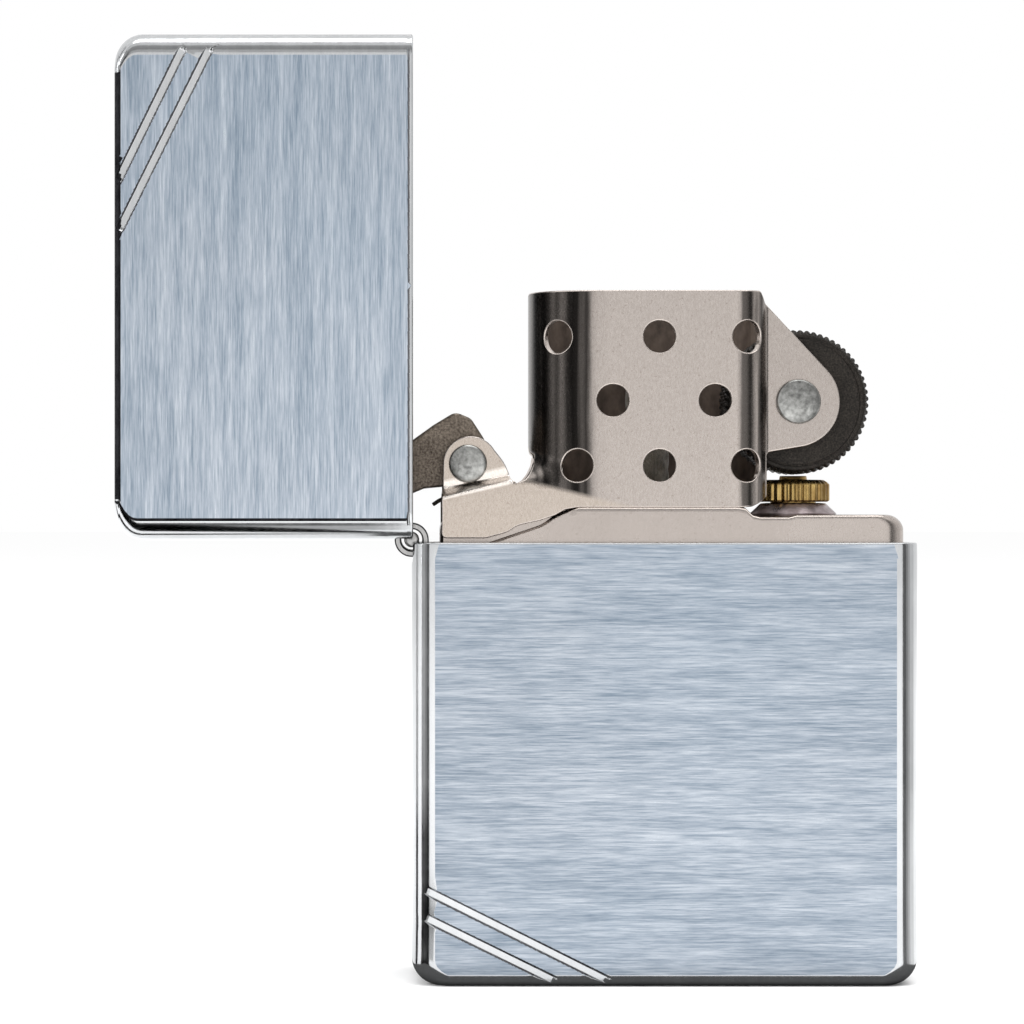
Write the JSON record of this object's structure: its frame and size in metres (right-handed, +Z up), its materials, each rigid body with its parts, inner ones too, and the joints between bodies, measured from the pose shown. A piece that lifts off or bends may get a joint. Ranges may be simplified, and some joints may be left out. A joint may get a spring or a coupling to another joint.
{
  "type": "petrol lighter",
  "caption": "Flip-top windproof petrol lighter, lid open, with a lift-out insert that carries chimney, cam, flint wheel and wick.",
  "frame": {"origin": "centre of the case's flat bottom face", "axes": "+Z up, +X away from the hinge, to the flint wheel's side, +Y to the back"},
  "size_m": [0.0604, 0.0128, 0.0716],
  "materials": {
    "satin_chrome": "brushed satin plate with polished rounded edges",
    "nickel_sheet": "bright satin sheet",
    "bright_steel": "plain bright steel",
    "dark_steel": "hardened, dark and slightly rough",
    "brass": "bare turned brass",
    "flint_stone": "matt pressed flint alloy",
    "cotton": "white cotton",
    "felt": "grey pressed felt"
  },
  "bodies": {
    "case": {"case_shell": "satin_chrome", "case_hinge_leaf": "bright_steel", "hinge_pin": "bright_steel"},
    "lid": {"lid_shell": "satin_chrome", "lid_hinge_leaf": "bright_steel"},
    "insert": {"insert_tank": "nickel_sheet", "chimney": "nickel_sheet", "cam_rivet": "bright_steel", "cam_spring": "dark_steel", "wheel_rivet": "bright_steel", "flint_tube": "brass", "tube_collar": "brass", "tube_washer": "bright_steel", "flint_spring": "bright_steel", "wick": "cotton", "cotton_ball_1": "cotton", "cotton_ball_2": "cotton", "cotton_ball_3": "cotton", "cotton_ball_4": "cotton", "cotton_ball_5": "cotton", "felt_pad": "felt"},
    "cam": {"cam": "dark_steel"},
    "flint_wheel": {"flint_wheel": "dark_steel"},
    "flint_plunger": {"flint": "flint_stone", "flint_spring_tip": "brass"},
    "flint_screw": {"flint_screw": "brass"}
  },
  "joints": [
    {"name": "lid_hinge", "type": "hinge", "parent": "case", "child": "lid", "pos_m": [-0.01905, 0, 0.0335], "axis": [0, -1, 0], "range_deg": [-90, 0]},
    {"name": "insert_lift", "type": "slide", "parent": "case", "child": "insert", "axis": [0, 0, 1], "range_m": [0, 0.028]},
    {"name": "cam_pivot", "type": "hinge", "parent": "insert", "child": "cam", "pos_m": [-0.0148, 0, 0.03925], "axis": [0, -1, 0], "range_deg": [-102, 0]},
    {"name": "wheel_spin", "type": "hinge", "parent": "insert", "child": "flint_wheel", "pos_m": [0.0102, 0, 0.04395], "axis": [0, 1, 0], "continuous": true},
    {"name": "flint_feed", "type": "slide", "parent": "insert", "child": "flint_plunger", "axis": [0, 0, 1], "range_m": [-0.003, 0], "stiffness_N_per_m": 300, "springref_m": 0.004, "deforming": ["flint_spring"]},
    {"name": "screw_turn", "type": "hinge", "parent": "insert", "child": "flint_screw", "pos_m": [0.0102, 0, 0.0014], "axis": [0, 0, 1], "continuous": true}
  ],
  "couplings": [
    {"joint": "cam_pivot", "follows": "lid_hinge", "ratio": 1.133}
  ]
}
